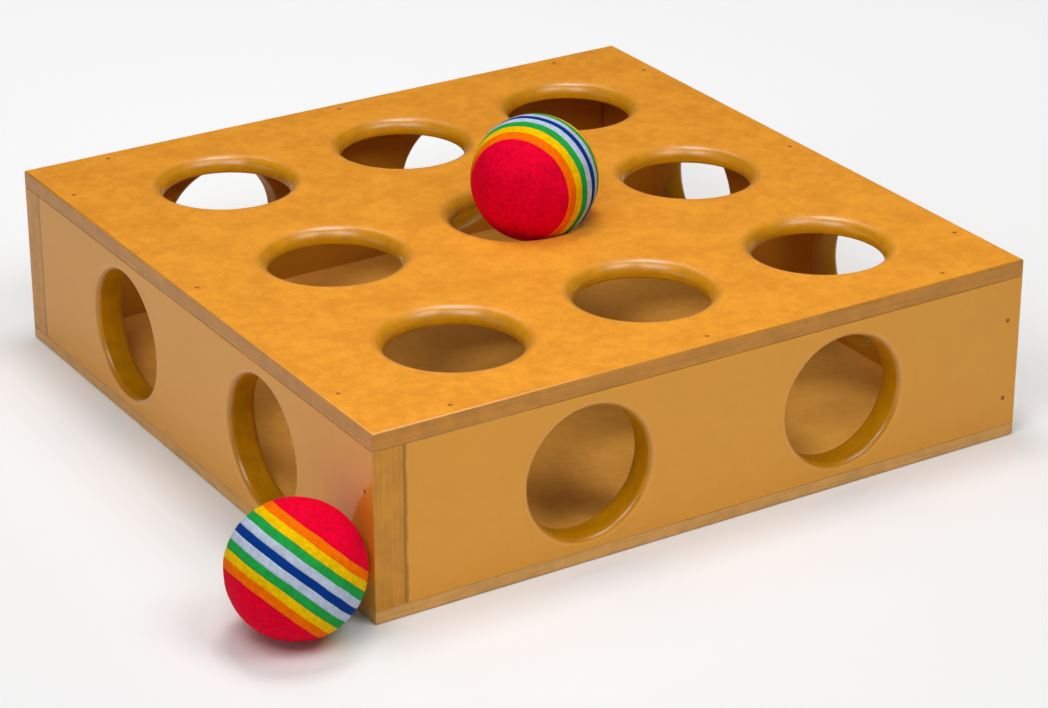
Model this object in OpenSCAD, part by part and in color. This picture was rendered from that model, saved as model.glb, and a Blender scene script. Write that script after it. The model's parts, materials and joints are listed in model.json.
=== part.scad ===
// Cat play box: a low square box with round paw holes in its top and walls, and two striped foam balls.
// The origin is the middle of the underside, +Z is up and the front wall faces -Y.

/* [Box] */
// Outside width and depth of the square box
box_w = 330; // [310:1:400]
// Height of the walls between the bottom and the top panel
wall_h = 72; // [71:0.5:110]
// Thickness of the four walls
wall_t = 14; // [12:0.1:18]
// Thickness of the top panel
top_t = 8; // [7.5:0.1:14]
// Thickness of the bottom panel
bottom_t = 6; // [4:0.1:12]
// Bevel that eases the outer edges of the top and bottom panels
arris = 1; // [0.4:0.1:2]

/* [Paw holes] */
// Bore of every paw hole
hole_d = 59.5; // [52:0.5:60.5]
// Rounding on the upper edge of a hole in the top panel
top_round = 6.3; // [3:0.1:6.8]
// Rounding on the lower edge of a hole in the top panel
under_round = 1; // [0.5:0.1:1.6]
// Rounding on both edges of a hole in a wall
wall_round = 3; // [2:0.1:5]
// Holes in each row of the top panel, an odd count so that one is in the middle
holes_per_row = 3; // [1:2:3]
// Spacing of the top holes from left to right
top_pitch_x = 94.5; // [80:0.5:105]
// Spacing of the top holes from front to back
top_pitch_y = 103; // [80:0.5:108]
// Middle of the top holes, to the right of the middle of the box
top_shift = 4; // [-5:0.5:5]
// Spacing of the two holes in each wall
wall_pitch = 130.5; // [100:0.5:150]
// Middle of a wall's two holes, along the wall from the middle of the box
wall_shift = 3.2; // [-6:0.1:6]
// Middle of a wall's two holes, below the middle of the wall
wall_drop = 0.8; // [0:0.1:2.5]

/* [Brads] */
// Diameter of a brad's shank
brad_d = 1.3; // [1:0.1:2]
// Diameter of a brad's head
brad_head_d = 2; // [2:0.1:3]
// Thickness of a brad's head
brad_head_t = 0.8; // [0.4:0.1:1.5]
// Length of a brad, head included
brad_l = 25; // [18:0.5:30]
// Length of a brad's point
brad_tip = 2; // [1:0.1:4]
// Gap between a brad and the board around it
brad_gap = 0.05; // [0.02:0.01:0.2]
// Brads along each edge of the top and bottom panels
brads_per_edge = 3; // [2:1:3]
// Spacing of the brads along each edge
brad_pitch = 125; // [105:1:130]
// Height of the lower brad at each corner, from the bottom panel
corner_low = 14; // [8:1:20]
// Spacing of the two brads one above the other at each corner
corner_pitch = 38; // [20:1:42]

/* [Balls] */
// Diameter of both balls
ball_d = 58; // [52:0.5:66]
// Thickness of the navy layer through the middle of a ball
navy_t = 3.4; // [2:0.1:5]
// Thickness of each coloured layer between the navy layer and the red ends
stripe_t = 3.65; // [2.5:0.05:5]
// Gap between a ball and what it leans on
ball_gap = 0.3; // [0.1:0.05:0.8]
// Direction in which the upper ball leans on the lip of the middle hole, from +X
lean_dir = -76; // [-180:1:180]
// Slope of the line from the lip up to the middle of the upper ball
lean_angle = 47; // [30:1:80]
// Tilt of the upper ball's layers from level
upper_tilt = 89; // [0:1:90]
// Compass direction of the upper ball's tilt, from +X
upper_turn = -146; // [-180:1:180]
// Distance of the floor ball's middle behind the front of the box
floor_ball_in = 12; // [-30:1:300]
// Tilt of the floor ball's layers from level
floor_tilt = 45; // [0:1:90]
// Compass direction of the floor ball's tilt, from +X
floor_turn = 1; // [-180:1:180]

/* [Hidden] */
$fn = 96;
// Overrun of a cutting shape past the face that it cuts
over = 1;
half_w = box_w / 2;
box_h = bottom_t + wall_h + top_t;
wall_hole_z = bottom_t + wall_h / 2 - wall_drop;
wall_len = box_w - wall_t;

// The rounded lip of the middle hole, where the upper ball leans
lip_r = hole_d / 2 + top_round;
lip_z = box_h - top_round;
lean_reach = ball_d / 2 + top_round + ball_gap;
lean_offset = lip_r - lean_reach * cos(lean_angle);
upper_at = [
    top_shift + lean_offset * cos(lean_dir),
    lean_offset * sin(lean_dir),
    lip_z + lean_reach * sin(lean_angle)
];
floor_at = [-half_w - ball_gap - ball_d / 2, floor_ball_in - half_w, ball_d / 2];

PANEL_COLOUR = "#e3a040";
WALL_COLOUR = "#d09a4e";
BRAD_COLOUR = "#5a4630";
LAYERS = [
    "red_1", "orange_1", "yellow_1", "green_1", "lilac_1", "navy",
    "lilac_2", "green_2", "yellow_2", "orange_2", "red_2"
];
LAYER_COLOURS = [
    "#dc0a37", "#ff7a0a", "#ffcc0d", "#1f9d45", "#b9bfe3", "#0f2f86",
    "#b9bfe3", "#1f9d45", "#ffcc0d", "#ff7a0a", "#dc0a37"
];
navy_index = (len(LAYERS) - 1) / 2;
WALLS = ["front_wall", "right_wall", "back_wall", "left_wall"];

// Distances from a ball's middle to the near and far faces of the layer that is steps away from the navy one
function layer_near(steps) = navy_t / 2 + (steps - 1) * stripe_t;
function layer_far(steps) = steps == navy_index ? ball_d / 2 + over : layer_near(steps) + stripe_t;

// Square board with its upper outer edges eased
module eased_board(t) {
    profile = [
        [-half_w, 0], [half_w, 0], [half_w, t - arris],
        [half_w - arris, t], [arris - half_w, t], [-half_w, t - arris]
    ];
    intersection() {
        rotate([90, 0, 0]) linear_extrude(box_w, center = true) polygon(profile);
        rotate([90, 0, 90]) linear_extrude(box_w, center = true) polygon(profile);
    }
}

// Cutter for a hole through a board of thickness t that lies on z = 0, with its lower and upper edges rounded
module rounded_hole(t, lower, upper) {
    bore_r = hole_d / 2;
    rotate_extrude() {
        translate([0, -over]) square([bore_r, t + 2 * over]);
        flare(bore_r, lower);
        translate([0, t]) mirror([0, 1]) flare(bore_r, upper);
    }
}

// Half section of what a rounded edge adds to a hole, for an edge on y = 0 whose board lies above it
module flare(bore_r, round) {
    difference() {
        translate([0, -over]) square([bore_r + round, round + over]);
        translate([bore_r + round, round]) circle(round);
    }
}

// Brad with the top of its head on z = 0, driven downwards
module brad() {
    rotate_extrude() polygon([
        [0, 0], [brad_head_d / 2, 0], [brad_head_d / 2, -brad_head_t],
        [brad_d / 2, -brad_head_t], [brad_d / 2, brad_tip - brad_l], [0, -brad_l]
    ]);
}

// Cutter for the hole that a brad makes, a gap larger than the brad
module brad_hole() {
    head_r = brad_head_d / 2 + brad_gap;
    shank_r = brad_d / 2 + brad_gap;
    rotate_extrude() polygon([
        [0, over], [head_r, over], [head_r, -brad_head_t - brad_gap],
        [shank_r, -brad_head_t - brad_gap], [shank_r, -brad_l - brad_gap], [0, -brad_l - brad_gap]
    ]);
}

// Places of the brads down the middle of the walls, on the given sides of the top panel
module at_top_brads(sides = [0:3]) {
    for (side = sides, i = [0:brads_per_edge - 1])
        rotate(90 * side)
            translate([(i - (brads_per_edge - 1) / 2) * brad_pitch, wall_t / 2 - half_w, box_h])
                children();
}

// Places of the same brads on the underside
module at_bottom_brads(sides = [0:3]) {
    translate([0, 0, box_h]) mirror([0, 0, 1]) at_top_brads(sides) children();
}

// Places of the brads that pin each wall to the end of the next one
module at_corner_brads(sides = [0:3]) {
    for (side = sides, up = [0, 1])
        rotate(90 * side)
            translate([half_w - wall_t / 2, -half_w, bottom_t + corner_low + up * corner_pitch])
                rotate([90, 0, 0])
                    children();
}

module top_panel() {
    first = (holes_per_row - 1) / 2;
    color(PANEL_COLOUR) difference() {
        translate([0, 0, box_h - top_t]) eased_board(top_t);
        for (i = [-first:first], j = [-first:first])
            translate([top_shift + i * top_pitch_x, j * top_pitch_y, box_h - top_t])
                rounded_hole(top_t, under_round, top_round);
        at_top_brads() brad_hole();
    }
}

module bottom_panel() {
    color(PANEL_COLOUR) difference() {
        translate([0, 0, bottom_t]) mirror([0, 0, 1]) eased_board(bottom_t);
        at_bottom_brads() brad_hole();
    }
}

// One of four like walls. Each covers the end of the wall on its right and butts against the one on its left
module wall(side) {
    color(WALL_COLOUR) rotate(90 * side) difference() {
        translate([wall_t - half_w, -half_w, bottom_t]) cube([wall_len, wall_t, wall_h]);
        for (end = [-1, 1])
            translate([wall_shift + end * wall_pitch / 2, wall_t - half_w, wall_hole_z])
                rotate([90, 0, 0])
                    rounded_hole(wall_t, wall_round, wall_round);
        at_top_brads([0]) brad_hole();
        at_bottom_brads([0]) brad_hole();
        at_corner_brads([-1, 0]) brad_hole();
    }
}

module top_brads() {
    color(BRAD_COLOUR) at_top_brads() brad();
}

module bottom_brads() {
    color(BRAD_COLOUR) at_bottom_brads() brad();
}

module corner_brads() {
    color(BRAD_COLOUR) at_corner_brads() brad();
}

// One glued layer of a ball whose middle is at the origin and whose layers lie level
module foam_layer(index) {
    steps = abs(index - navy_index);
    low = steps == 0 ? -navy_t / 2 : layer_near(steps);
    high = steps == 0 ? navy_t / 2 : layer_far(steps);
    color(LAYER_COLOURS[index]) mirror([0, 0, index < navy_index ? 1 : 0]) intersection() {
        sphere(d = ball_d);
        translate([-ball_d / 2 - over, -ball_d / 2 - over, low])
            cube([ball_d + 2 * over, ball_d + 2 * over, high - low]);
    }
}

module upper_ball(index) {
    translate(upper_at) rotate([0, upper_tilt, upper_turn]) foam_layer(index);
}

module floor_ball(index) {
    translate(floor_at) rotate([0, floor_tilt, floor_turn]) foam_layer(index);
}

top_panel();
bottom_panel();
for (side = [0:3])
    wall(side);
top_brads();
bottom_brads();
corner_brads();
for (index = [0:len(LAYERS) - 1]) {
    upper_ball(index);
    floor_ball(index);
}
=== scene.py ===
"""Cat play box: a lacquered fibreboard box with round paw holes, and two striped foam balls."""

import json
import math
from typing import NamedTuple

import bmesh
import bpy
from mathutils import Color, Matrix, Vector, noise


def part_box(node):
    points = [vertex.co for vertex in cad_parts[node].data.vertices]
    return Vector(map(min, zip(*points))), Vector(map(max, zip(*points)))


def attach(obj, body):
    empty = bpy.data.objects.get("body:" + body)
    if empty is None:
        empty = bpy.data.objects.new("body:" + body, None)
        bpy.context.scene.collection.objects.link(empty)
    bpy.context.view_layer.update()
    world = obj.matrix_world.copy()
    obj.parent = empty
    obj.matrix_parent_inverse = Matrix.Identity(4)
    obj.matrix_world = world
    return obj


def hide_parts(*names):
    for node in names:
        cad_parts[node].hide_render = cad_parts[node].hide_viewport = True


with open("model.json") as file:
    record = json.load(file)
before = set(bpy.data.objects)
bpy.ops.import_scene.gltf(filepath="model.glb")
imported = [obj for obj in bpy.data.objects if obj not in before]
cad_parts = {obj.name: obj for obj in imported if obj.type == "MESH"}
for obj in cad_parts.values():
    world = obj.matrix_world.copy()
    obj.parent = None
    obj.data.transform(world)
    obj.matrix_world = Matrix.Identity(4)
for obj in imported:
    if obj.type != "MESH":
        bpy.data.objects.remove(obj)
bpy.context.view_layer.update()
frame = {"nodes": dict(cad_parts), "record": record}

# Sizes of the boards in metres. Lips are the roundings on a paw hole's inner and outer edges
PAW_HOLE_R = 0.02975
TOP_LIPS = (0.001, 0.0063)
WALL_LIPS = (0.003, 0.003)
PANEL_ARRIS = 0.001
SAWN_ARRIS = 0.0004
BRAD_HOLE_R = 0.00105
BRAD_PITCH = 0.125
CORNER_BRAD_LOW = 0.014
CORNER_BRAD_PITCH = 0.038

# Layers of a ball from one red end to the other, the thickness of the navy one and of each between
# it and the ends, and how far their edges are drawn in at a glue line
LAYERS = (
    "red_1", "orange_1", "yellow_1", "green_1", "lilac_1", "navy",
    "lilac_2", "green_2", "yellow_2", "orange_2", "red_2",
)
NAVY_T = 0.0034
STRIPE_T = 0.00365
GLUE_GROOVE = 0.00018

# Tilt of each ball's layers from level, and the compass direction of that tilt from +X
BALL_TURNS = {
    "upper_ball": (math.radians(89), math.radians(-146)),
    "floor_ball": (math.radians(45), math.radians(1)),
}

# How far the foam's surface wobbles, how wide its lumps are, the seed that they come from, and where
# each ball lies among them
FOAM_WOBBLE = 0.00028
FOAM_LUMP = 0.009
FOAM_SEED = 13
BALL_DRIFTS = {"upper_ball": Vector((3.1, 1.7, 5.3)), "floor_ball": Vector((11.9, 8.2, 2.6))}

# Steps of the round stretches
HOLE_STEPS = 128
LIP_STEPS = 9
ARRIS_STEPS = 3
BRAD_STEPS = 20
BALL_STEPS = 180
FOAM_ARC_STEP = math.radians(1.6)

# Limits at which points merge or are level, edges are sharp or square, and faces lie level
MERGE_DISTANCE = 1e-7
SAME_LEVEL = 1e-6
SHARP_ANGLE = math.radians(50)
SQUARE_ANGLE = math.radians(80)
LEVEL_NORMAL = 0.999

# How strongly a board's broad faces set the shading at its edges
EVEN_SHADING_WEIGHT = 80

# Strength of the clear coat on rounded edges and on flat sawn ones, and its roughness where it is
# sleek, on the walls, and where it is satin, on the panels and in all holes
ROUNDED_GLOSS = 0.9
SAWN_GLOSS = 0.45
SLEEK_COAT = 0.06
SATIN_COAT = 0.3

# Where one finish of a board gives way to another, by how squarely the surface faces across the
# board: from 0 on a sawn edge to 1 on a broad face, and less than 0 on the inner side
INNER_TO_OUTER = (-0.2, 0.2)
SAWN_TO_ROUNDED_GLOSS = (0.1, 0.4)
SAWN_TO_FACE_COLOUR = (0.75, 0.995)
ROUNDED_TO_FACE_GLOSS = (0.96, 0.999)

# Shares of its green and of its blue that a stain loses as it soaks in, for each share of its red
GREEN_SOAK = 1.5
BLUE_SOAK = 2.0

# Relief of a board's faces, with its strength for each part of mottle, and the length of the
# pressed layers that show on a sawn edge, as a multiple of their thickness
BOARD_RELIEF = 0.00008
RELIEF_PER_MOTTLE = 4
LAYER_STRETCH = 40.0

# Width of the stain at a seam, how far it bleeds out from there, and how strong and how dark it is
SEAM_W = 0.0012
SEAM_BLEED = 0.0016
SEAM_STRENGTH = 0.7
SEAM_SHADE = 0.4

# Darkest and lightest shades of the sawn edges and of the foam
EDGE_SHADES = (0.88, 1.1)
FOAM_SHADES = (0.78, 1.1)

BRAD_COLOURS = ((146, 78, 24), (180, 102, 36))
FOAM_COLOURS = {
    "red": (232, 0, 46),
    "orange": (255, 112, 0),
    "yellow": (242, 192, 0),
    "green": (34, 160, 68),
    "lilac": (184, 196, 216),
    "navy": (6, 54, 136),
}


class Lacquer(NamedTuple):
    """Stain and lacquer of a board: the colours of its outer face, its inner face, its sawn edges
    and its holes, how much its faces vary, and the strength and roughness of the clear coat on its
    outer face. The inner face's colour is painted shade on the lid and the walls, darker than their
    outer faces, and painted light on the bottom panel, lighter than its outer face."""
    face: tuple
    inside: tuple
    edge: tuple
    bore: tuple
    mottle: float
    gloss: float
    coat: float


# The lid's inside colour is painted shade: its underside is much darker than its face, for the shade
# inside the box
TOP_LACQUER = Lacquer(
    face=(232, 152, 46), inside=(116, 66, 14), edge=(198, 132, 38), bore=(212, 142, 8),
    mottle=0.08, gloss=0.05, coat=SATIN_COAT,
)
# The bottom panel's inside colour is painted light: lighter than its outer face, for the light that
# falls in through the holes
BOTTOM_LACQUER = Lacquer(
    face=(236, 176, 84), inside=(250, 180, 78), edge=(220, 164, 84), bore=(188, 130, 58),
    mottle=0.05, gloss=0.1, coat=SATIN_COAT,
)
# The walls' inside colour is painted shade: darker than their outer faces, for the shade inside the
# box
WALL_LACQUER = Lacquer(
    face=(230, 158, 44), inside=(200, 134, 36), edge=(210, 140, 22), bore=(196, 130, 2),
    mottle=0.012, gloss=0.42, coat=SLEEK_COAT,
)

FLOOR_HALF_W = 4
FLOOR_GREYS = (238, 242)

# The floor's most lit spot, in front of the box, and the greys with which the floor makes up for
# the light that it lacks further out: each takes over between two distances from that spot
LIT_SPOT = (-0.1, -0.32, 0)
GLOW_AT_SPOT = 30
GLOWS = ((0.15, 0.9, 166), (0.75, 1.7, 236), (1.5, 2.2, 250))

# The studio's grey at the horizon, its colour above, and the heights between which they blend
HORIZON_GREY = 210
AIR_COLOUR = (52, 53, 55)
HORIZON_TO_AIR = (0.02, 0.1)

LID_MIDDLE = (0, 0, 0.08)
BOX_CORE = (0, 0, 0.05)
CAMERA_AT = Vector((-0.7379, -1.1958, 0.6675))
CAMERA_AIM = Vector((-0.0253, -0.0540, 0.0430))
CAMERA_LENS = 114.8
CAMERA_SENSOR = 36


# Finishes

def srgb(red, green, blue, shade=1.0):
    """A colour written as 0 to 255, made darker or lighter by shade, for a shader's socket."""
    linear = Color((red / 255, green / 255, blue / 255)).from_srgb_to_scene_linear()
    return (*(min(channel * shade, 1.0) for channel in linear), 1.0)


def grey(level):
    """A grey written as 0 to 255, for a shader's socket."""
    return srgb(level, level, level)


class Value:
    """A number that varies over a surface. Arithmetic on it adds Math nodes."""

    def __init__(self, nodes, socket):
        self.nodes = nodes
        self.socket = socket

    def math(self, operation, *numbers):
        return self.nodes.add("ShaderNodeMath", {"operation": operation}, dict(enumerate(numbers)))

    def __add__(self, other):
        return self.math("ADD", self, other)

    def __sub__(self, other):
        return self.math("SUBTRACT", self, other)

    def __rsub__(self, other):
        return self.math("SUBTRACT", other, self)

    def __mul__(self, other):
        return self.math("MULTIPLY", self, other)

    def __abs__(self):
        return self.math("ABSOLUTE", self)

    __radd__ = __add__
    __rmul__ = __mul__


class Nodes:
    """A node tree that is written as expressions."""

    def __init__(self, tree):
        self.tree = tree

    def feed(self, socket, value):
        """Links a varying value to a socket, or sets a constant on it."""
        if isinstance(value, Value):
            self.tree.links.new(value.socket, socket)
        else:
            socket.default_value = value

    def add(self, kind, settings=None, sockets=None, output=0):
        """A new node of that kind, with its settings made first and its sockets fed after them."""
        node = self.tree.nodes.new(kind)
        for name, value in (settings or {}).items():
            setattr(node, name, value)
        for name, value in (sockets or {}).items():
            self.feed(node.inputs[name], value)
        return Value(self, node.outputs[output])

    def place(self, kind="Object"):
        return self.add("ShaderNodeTexCoord", output=kind)

    def along(self, axis, kind="Object"):
        """One number of a place, or of the surface's direction where kind is Normal."""
        return self.add("ShaderNodeSeparateXYZ", sockets={0: self.place(kind)}, output=axis)

    def grain(self, size, detail=2.0, stretch=(1.0, 1.0, 1.0)):
        """Noise from 0 to 1 with features of about that size, longer where stretch is more."""
        scale = [1 / (size * factor) for factor in stretch]
        place = self.add("ShaderNodeMapping", sockets={"Vector": self.place(), "Scale": scale})
        sockets = {"Vector": place, "Scale": 1.0, "Detail": detail}
        return self.add("ShaderNodeTexNoise", sockets=sockets)

    def step(self, value, low, high):
        """0 below low and 1 above high, with a smooth rise between them."""
        sockets = {"Value": value, "From Min": low, "From Max": high}
        return self.add("ShaderNodeMapRange", {"interpolation_type": "SMOOTHSTEP"}, sockets)

    def spread(self, value, reach):
        """Noise spread out to run from 0 to 1 within that reach of its middle."""
        return self.step(value, 0.5 - reach, 0.5 + reach)

    def mix(self, factor, first, second):
        sockets = {"Factor": factor, 6: first, 7: second}
        return self.add("ShaderNodeMix", {"data_type": "RGBA"}, sockets, output=2)

    def bump(self, height, depth, strength):
        sockets = {"Height": height, "Distance": depth, "Strength": strength}
        return self.add("ShaderNodeBump", sockets=sockets)


class Finish(Nodes):
    """A material whose constants sit on its surface shader."""

    def __init__(self, name, **constants):
        self.material = bpy.data.materials.new(name)
        self.material.use_nodes = True
        super().__init__(self.material.node_tree)
        self.surface = self.tree.nodes["Principled BSDF"]
        self.paint(**constants)

    def paint(self, **values):
        """Feeds the surface shader's sockets, named with underscores for spaces."""
        for name, value in values.items():
            self.feed(self.surface.inputs[name.replace("_", " ")], value)


def stained(colour, depth):
    """A stain's colour where it has soaked in deeper by that share: darker and redder."""
    red, green, blue, alpha = srgb(*colour)
    return (
        red * (1 - depth), green * (1 - GREEN_SOAK * depth), blue * (1 - BLUE_SOAK * depth), alpha,
    )


def lacquered_fibreboard(name, lacquer, axis, outward, edge, sawn_gloss, coat, seam=None):
    """Stained and lacquered fibreboard, axis being the one across its thickness and outward the way
    that its glossy side faces on it. Where it is sawn it has the colour of edge and shows its
    pressed layers. A seam is a plane, given as its axis and its place on it, at which the board
    butts against another and stain gathers."""
    finish = Finish(name, Specular_IOR_Level=0.08, Coat_Roughness=coat, Coat_IOR=1.65)
    facing = finish.along(axis, "Normal")

    cloud = finish.grain(size=0.022)
    blotch = finish.grain(size=0.0052)
    fleck = finish.grain(size=0.0013)
    tone = finish.spread(0.4 * cloud + 0.42 * blotch + 0.18 * fleck, reach=0.15)
    # The inner side takes the board's inside colour, which is painted shade on the lid and walls and
    # painted light on the bottom panel
    outer_side = finish.step(outward * facing, *INNER_TO_OUTER)
    deeper, paler = (
        finish.mix(outer_side, stained(lacquer.inside, depth), stained(lacquer.face, depth))
        for depth in (lacquer.mottle, -lacquer.mottle)
    )
    face_colour = finish.mix(tone, deeper, paler)

    stretch = [LAYER_STRETCH] * 3
    stretch[axis] = 1.0
    layer = finish.grain(size=0.0009, stretch=stretch)
    smear = finish.grain(size=0.007, detail=3.0)
    edge_tone = finish.spread(0.5 * layer + 0.5 * smear, reach=0.14)
    edge_colour = finish.mix(edge_tone, *(srgb(*edge, shade) for shade in EDGE_SHADES))
    colour = finish.mix(finish.step(abs(facing), *SAWN_TO_FACE_COLOUR), edge_colour, face_colour)
    if seam:
        seam_axis, seam_place = seam
        away = abs(finish.along(seam_axis) - seam_place)
        stain = 1 - finish.step(away - SEAM_BLEED * smear, 0.0, SEAM_W)
        colour = finish.mix(SEAM_STRENGTH * stain, colour, srgb(*edge, SEAM_SHADE))

    outer = finish.step(outward * facing, *ROUNDED_TO_FACE_GLOSS)
    rounded = 1 - finish.step(abs(facing), *ROUNDED_TO_FACE_GLOSS)
    roundness = finish.step(abs(facing), *SAWN_TO_ROUNDED_GLOSS)
    edge_gloss = sawn_gloss + (ROUNDED_GLOSS - sawn_gloss) * roundness
    relief = 0.5 * blotch + 0.5 * fleck
    finish.paint(
        Base_Color=colour,
        Roughness=0.42 + 0.16 * fleck,
        Coat_Weight=lacquer.gloss * outer + edge_gloss * rounded,
        Normal=finish.bump(relief, BOARD_RELIEF, RELIEF_PER_MOTTLE * lacquer.mottle),
    )
    return finish.material


def stained_steel():
    """Brad heads with the stain that was wiped over them."""
    finish = Finish("stained_brad_steel", Specular_IOR_Level=0.3)
    tarnish = finish.grain(size=0.0009, detail=3.0)
    tone = finish.spread(tarnish, reach=0.2)
    finish.paint(
        Base_Color=finish.mix(tone, *(srgb(*colour) for colour in BRAD_COLOURS)),
        Roughness=0.5 + 0.3 * tarnish,
    )
    return finish.material


def foam(name, colour):
    """Dyed closed-cell foam with a sanded, slightly fuzzy surface."""
    finish = Finish(
        name, Specular_IOR_Level=0.03,
        Sheen_Weight=0.02, Sheen_Roughness=0.45, Sheen_Tint=srgb(*colour),
    )
    cell = finish.grain(size=0.0006)
    nap = finish.grain(size=0.002, detail=3.0)
    cloud = finish.grain(size=0.011)
    tone = finish.spread(0.3 * cell + 0.45 * nap + 0.25 * cloud, reach=0.16)
    finish.paint(
        Base_Color=finish.mix(tone, *(srgb(*colour, shade) for shade in FOAM_SHADES)),
        Roughness=0.62 + 0.2 * nap,
        Normal=finish.bump(0.5 * cell + 0.5 * nap, depth=0.00035, strength=0.5),
    )
    return finish.material


# Pieces

def make_piece(name, bm, place, body, node, slot, *materials):
    """The mesh as a smooth piece that stands for a node of the frame and moves with its body."""
    bmesh.ops.remove_doubles(bm, verts=bm.verts, dist=MERGE_DISTANCE)
    bmesh.ops.recalc_face_normals(bm, faces=bm.faces)
    bmesh.ops.transform(bm, matrix=place, verts=bm.verts)
    for face in bm.faces:
        face.smooth = True
    for edge in bm.edges:
        edge.smooth = edge.calc_face_angle(0) < SHARP_ANGLE
    mesh = bpy.data.meshes.new(name)
    bm.to_mesh(mesh)
    bm.free()
    for material in materials:
        mesh.materials.append(material)
    piece = bpy.data.objects.new(name, mesh)
    bpy.context.scene.collection.objects.link(piece)
    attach(piece, body)
    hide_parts(node)
    return piece


def arc(bm, vert, centre, axis, angle, steps):
    """Draws an arc from a vertex about an axis, and gives the vertex where it ends."""
    drawn = bmesh.ops.spin(bm, geom=[vert], cent=centre, axis=axis, angle=angle, steps=steps)
    return next(item for item in drawn["geom_last"] if isinstance(item, bmesh.types.BMVert))


def line(bm, vert, end):
    """Draws a straight line from a vertex, and gives the vertex where it ends."""
    drawn = bmesh.ops.extrude_vert_indiv(bm, verts=[vert])["verts"][0]
    drawn.co = end
    return drawn


def turn_round(bm, outline, centre, steps):
    """Turns an outline all the way round the Z axis through centre."""
    bmesh.ops.spin(
        bm, geom=outline, cent=centre, axis=(0, 0, 1), angle=math.tau, steps=steps, use_merge=True,
    )


def hole(bm, centre, thickness, radius, lower, upper, steps):
    """The inner face of a hole through a board that lies level, with its lower and upper edges
    rounded by those amounts. It takes the board's second finish."""
    older_edges = set(bm.edges)
    older_faces = set(bm.faces)
    half = thickness / 2
    quarter = dict(axis=(0, -1, 0), angle=math.pi / 2, steps=LIP_STEPS)
    wall = Vector((centre.x + radius, centre.y, 0))
    end = bm.verts.new(wall + Vector((upper, 0, half)))
    if upper:
        end = arc(bm, end, wall + Vector((upper, 0, half - upper)), **quarter)
    end = line(bm, end, wall + Vector((0, 0, lower - half)))
    if lower:
        arc(bm, end, wall + Vector((lower, 0, lower - half)), **quarter)
    outline = [edge for edge in bm.edges if edge not in older_edges]
    turn_round(bm, outline, (centre.x, centre.y, 0), steps)
    for face in set(bm.faces) - older_faces:
        face.material_index = 1


def board(node, lacquer, slot, brads, paw_holes=(), lips=(), arris_side=0, seam=None):
    """A board in the place of its node: a block with eased edges, its paw holes and its brad holes.
    An arris_side of 1 gives its upper edges the panels' arris, and one of -1 its lower ones."""
    low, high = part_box(node)
    size = high - low
    axis = min(range(3), key=lambda side: size[side])
    across = Vector([float(side == axis) for side in range(3)])
    turn = Vector((0, 0, 1)).rotation_difference(across).to_matrix().to_4x4()
    place = Matrix.Translation((low + high) / 2) @ turn
    length, width, thickness = (abs(side) for side in turn.inverted() @ size)

    bm = bmesh.new()
    bmesh.ops.create_cube(bm, size=1, matrix=Matrix.Diagonal((length, width, thickness, 1)))
    eased = dict(affect="EDGES", segments=ARRIS_STEPS, profile=0.5, material=-1)
    if arris_side:
        outer = [e for e in bm.edges if all(v.co.z * arris_side > 0 for v in e.verts)]
        bmesh.ops.bevel(bm, geom=outer, offset=PANEL_ARRIS, **eased)
    sawn = [e for e in bm.edges if e.calc_face_angle() > SQUARE_ANGLE]
    bmesh.ops.bevel(bm, geom=sawn, offset=SAWN_ARRIS, **eased)
    broad = [f for f in bm.faces if abs(f.normal.z) > LEVEL_NORMAL]
    bmesh.ops.delete(bm, geom=broad, context="FACES_ONLY")

    back = place.inverted()
    for at in paw_holes:
        hole(bm, back @ at, thickness, PAW_HOLE_R, *lips, HOLE_STEPS)
    for at in brads:
        hole(bm, back @ at, thickness, BRAD_HOLE_R, lower=0, upper=0, steps=BRAD_STEPS)
    boundary = [e for e in bm.edges if e.is_boundary]
    for side in (-1, 1):
        level = side * thickness / 2
        rims = [e for e in boundary if all(abs(v.co.z - level) < SAME_LEVEL for v in e.verts)]
        bmesh.ops.triangle_fill(bm, edges=rims, use_beauty=True, normal=(0, 0, side))

    outward = math.copysign(1, place.translation[axis] - box_middle[axis])
    shared = (lacquer, axis, outward)
    faces = lacquered_fibreboard(
        f"{node}_lacquer", *shared,
        edge=lacquer.edge, sawn_gloss=SAWN_GLOSS, coat=lacquer.coat, seam=seam,
    )
    bores = lacquered_fibreboard(
        f"{node}_bore", *shared, edge=lacquer.bore, sawn_gloss=0, coat=SATIN_COAT,
    )
    piece = make_piece(f"{node}_board", bm, place, "box", node, slot, faces, bores)
    normals = piece.modifiers.new("even_shading", "WEIGHTED_NORMAL")
    normals.weight = EVEN_SHADING_WEIGHT
    normals.keep_sharp = True


def foam_layer(low, high, radius):
    """One layer of a ball, between two planes across the Z axis through the ball's middle, with its
    edges drawn in a little at the glue lines."""
    bm = bmesh.new()
    upper = math.acos(min(high / radius, 1))
    lower = math.acos(max(low / radius, -1))
    groove = GLUE_GROOVE / radius
    upper_end = upper + groove if upper > 0 else 0
    lower_end = lower - groove if lower < math.pi else math.pi
    start = bm.verts.new((radius * math.sin(upper_end), 0, radius * math.cos(upper_end)))
    steps = math.ceil((lower_end - upper_end) / FOAM_ARC_STEP)
    end = arc(bm, start, (0, 0, 0), (0, 1, 0), lower_end - upper_end, steps)
    for vert, angle in ((start, upper), (end, lower)):
        if 0 < angle < math.pi:
            level = radius * math.cos(angle)
            rim = line(bm, vert, (radius * math.sin(angle) - GLUE_GROOVE, 0, level))
            line(bm, rim, (0, 0, level))
    turn_round(bm, bm.verts[:] + bm.edges[:], (0, 0, 0), BALL_STEPS)
    bmesh.ops.remove_doubles(bm, verts=bm.verts, dist=MERGE_DISTANCE)
    return bm


def wobble(bm, drift):
    """Moves a layer's points by a slow field that is the same for all layers of a ball."""
    for vert in bm.verts:
        vert.co += FOAM_WOBBLE * noise.noise_vector(vert.co / FOAM_LUMP + drift)


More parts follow.
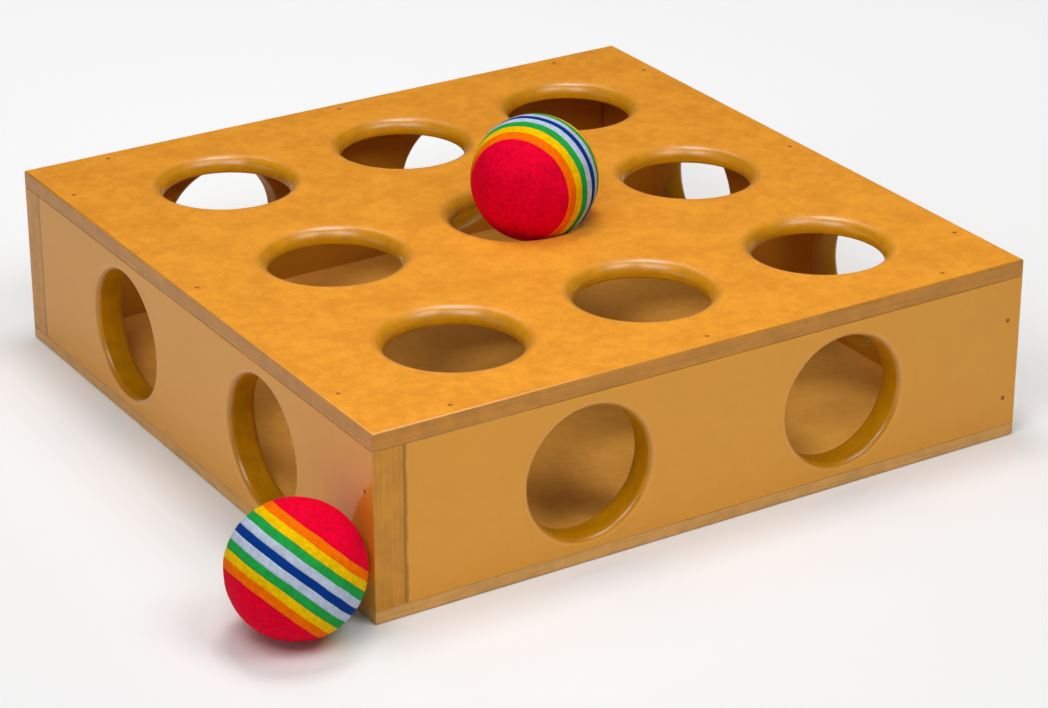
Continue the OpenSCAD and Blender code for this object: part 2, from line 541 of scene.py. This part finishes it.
def layer_planes(radius):
    """Planes between the layers of a ball, from one end to the other."""
    half = [NAVY_T / 2 + step * STRIPE_T for step in range(len(LAYERS) // 2)]
    return [-radius] + [-level for level in reversed(half)] + half + [radius]


def ball(body, foams):
    """A ball of eleven foam layers, each a piece of its own."""
    boxes = [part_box(f"{body}_{layer}") for layer in LAYERS]
    low = Vector([min(box[0][side] for box in boxes) for side in range(3)])
    high = Vector([max(box[1][side] for box in boxes) for side in range(3)])
    radius = (high.z - low.z) / 2
    tilt, turn = BALL_TURNS[body]
    turned = Matrix.Rotation(turn, 4, "Z") @ Matrix.Rotation(tilt, 4, "Y")
    place = Matrix.Translation((low + high) / 2) @ turned
    planes = layer_planes(radius)
    for index, layer in enumerate(LAYERS):
        colour = layer.split("_")[0]
        node = f"{body}_{layer}"
        bm = foam_layer(planes[index], planes[index + 1], radius)
        wobble(bm, BALL_DRIFTS[body])
        piece = make_piece(f"{node}_foam", bm, place, body, node, f"{colour}_foam", foams[colour])


def opening_middles(prefix):
    """Middles of the record's openings whose names start so."""
    openings = frame["record"]["physics"]["openings"]
    boxes = [opening["box_m"] for opening in openings if opening["name"].startswith(prefix)]
    return [(Vector(box[0]) + Vector(box[1])) / 2 for box in boxes]


def quarter_turns(points):
    """Four lists of the points, a quarter turn apart round the middle of the box."""
    turns = [Matrix.Rotation(math.pi / 2 * side, 3, "Z") for side in range(4)]
    return [[turn @ point for point in points] for turn in turns]


front_low, front_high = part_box("front_wall")
box_middle = Vector((0, 0, (front_low.z + front_high.z) / 2))
wall_middle_y = (front_low.y + front_high.y) / 2
front_brads = [Vector((i * BRAD_PITCH, wall_middle_y, 0)) for i in (-1, 0, 1)]
edge_brads = sum(quarter_turns(front_brads), [])
brad_heights = [front_low.z + CORNER_BRAD_LOW + up * CORNER_BRAD_PITCH for up in (0, 1)]
corner_brads = quarter_turns([Vector((-wall_middle_y, front_low.y, z)) for z in brad_heights])
outer_holes = opening_middles("top_hole_")
middle_hole = sum(outer_holes, Vector()) / len(outer_holes)

board(
    "top_panel", TOP_LACQUER, "panel_mdf", edge_brads,
    paw_holes=outer_holes + [middle_hole], lips=TOP_LIPS, arris_side=1,
)
board("bottom_panel", BOTTOM_LACQUER, "panel_mdf", edge_brads, arris_side=-1)

# Each wall butts against the one before it, at its low end in the front and right walls and at its
# high end in the other two
for side, wall in enumerate(("front_wall", "right_wall", "back_wall", "left_wall")):
    butt_axis = side % 2
    butt_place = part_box(wall)[side // 2][butt_axis]
    board(
        wall, WALL_LACQUER, "wall_mdf", corner_brads[side],
        paw_holes=opening_middles(wall), lips=WALL_LIPS, seam=(butt_axis, butt_place),
    )

brad_steel = stained_steel()
for node in ("top_brads", "bottom_brads", "corner_brads"):
    for slot in frame["nodes"][node].material_slots:
        slot.material = brad_steel

noise.seed_set(FOAM_SEED)
foams = {colour: foam(f"{colour}_foam_finish", rgb) for colour, rgb in FOAM_COLOURS.items()}
ball("upper_ball", foams)
ball("floor_ball", foams)


# Stage, light and camera

def seen(nodes):
    """1 where the camera or a reflection looks, and 0 where light only bounces."""
    kinds = ("Camera", "Glossy", "Transmission")
    direct, mirrored, through = (
        nodes.add("ShaderNodeLightPath", output=f"Is {kind} Ray") for kind in kinds
    )
    return direct + mirrored + through


def floor():
    """A floor that looks nearly white, and still takes the object's shadow."""
    bm = bmesh.new()
    bmesh.ops.create_grid(bm, x_segments=1, y_segments=1, size=FLOOR_HALF_W)
    mesh = bpy.data.meshes.new("pale_floor")
    bm.to_mesh(mesh)
    bm.free()
    finish = Finish(
        "pale_floor_paint", Roughness=0.9, Specular_IOR_Level=0.1, Emission_Strength=1.0,
    )
    cloud = finish.grain(size=0.5)
    ends = {0: finish.place(), 1: LIT_SPOT}
    away = finish.add("ShaderNodeVectorMath", {"operation": "DISTANCE"}, ends, output="Value")
    glow = grey(GLOW_AT_SPOT)
    for start, full, level in GLOWS:
        glow = finish.mix(finish.step(away, start, full), glow, grey(level))
    finish.paint(
        Base_Color=finish.mix(cloud, *(grey(level) for level in FLOOR_GREYS)),
        Emission_Color=finish.mix(seen(finish), grey(0), glow),
    )
    mesh.materials.append(finish.material)
    piece = bpy.data.objects.new("pale_floor", mesh)
    bpy.context.scene.collection.objects.link(piece)


def softbox(name, at, aim, width, height, watts, turn=0.0):
    """A flat lamp that faces what it aims at, turned about its own aim."""
    light = bpy.data.lights.new(name, "AREA")
    light.shape = "RECTANGLE"
    light.size = width
    light.size_y = height
    light.energy = watts
    lamp = bpy.data.objects.new(name, light)
    lamp.location = at
    lamp.rotation_euler = (Vector(at) - Vector(aim)).to_track_quat("Z", "Y").to_euler()
    lamp.rotation_euler.rotate_axis("Z", turn)
    bpy.context.scene.collection.objects.link(lamp)


def studio_air():
    """Dim light from all round, with a pale band along the horizon."""
    world = bpy.data.worlds.new("studio_air")
    world.use_nodes = True
    nodes = Nodes(world.node_tree)
    dimmed = nodes.step(nodes.along(2, "Generated"), *HORIZON_TO_AIR)
    background = world.node_tree.nodes["Background"]
    nodes.feed(background.inputs["Color"], nodes.mix(dimmed, grey(HORIZON_GREY), srgb(*AIR_COLOUR)))
    bpy.context.scene.world = world


def camera():
    """The photo's viewpoint."""
    lens = bpy.data.cameras.new("camera")
    lens.lens = CAMERA_LENS
    lens.sensor_width = CAMERA_SENSOR
    eye = bpy.data.objects.new("camera", lens)
    eye.location = CAMERA_AT
    eye.rotation_euler = (CAMERA_AT - CAMERA_AIM).to_track_quat("Z", "Y").to_euler()
    bpy.context.scene.collection.objects.link(eye)
    bpy.context.scene.camera = eye


floor()
studio_air()
softbox(
    "overhead", at=(0.16, 0.26, 1.1), aim=LID_MIDDLE, width=1.4, height=0.22, watts=2.2,
    turn=math.radians(-32),
)
softbox("top", at=(0.03, 0.1, 1.25), aim=LID_MIDDLE, width=0.36, height=0.36, watts=4.6)
softbox("near_right", at=(0.15, -0.6, 0.85), aim=BOX_CORE, width=0.45, height=0.45, watts=3.1)
softbox("near_left", at=(-0.5, -0.4, 0.8), aim=BOX_CORE, width=0.5, height=0.5, watts=3.7)
softbox("left", at=(-2.6, 0.2, 0.55), aim=BOX_CORE, width=1.6, height=1.0, watts=4.8)
camera()
bpy.context.scene.view_settings.view_transform = "Standard"
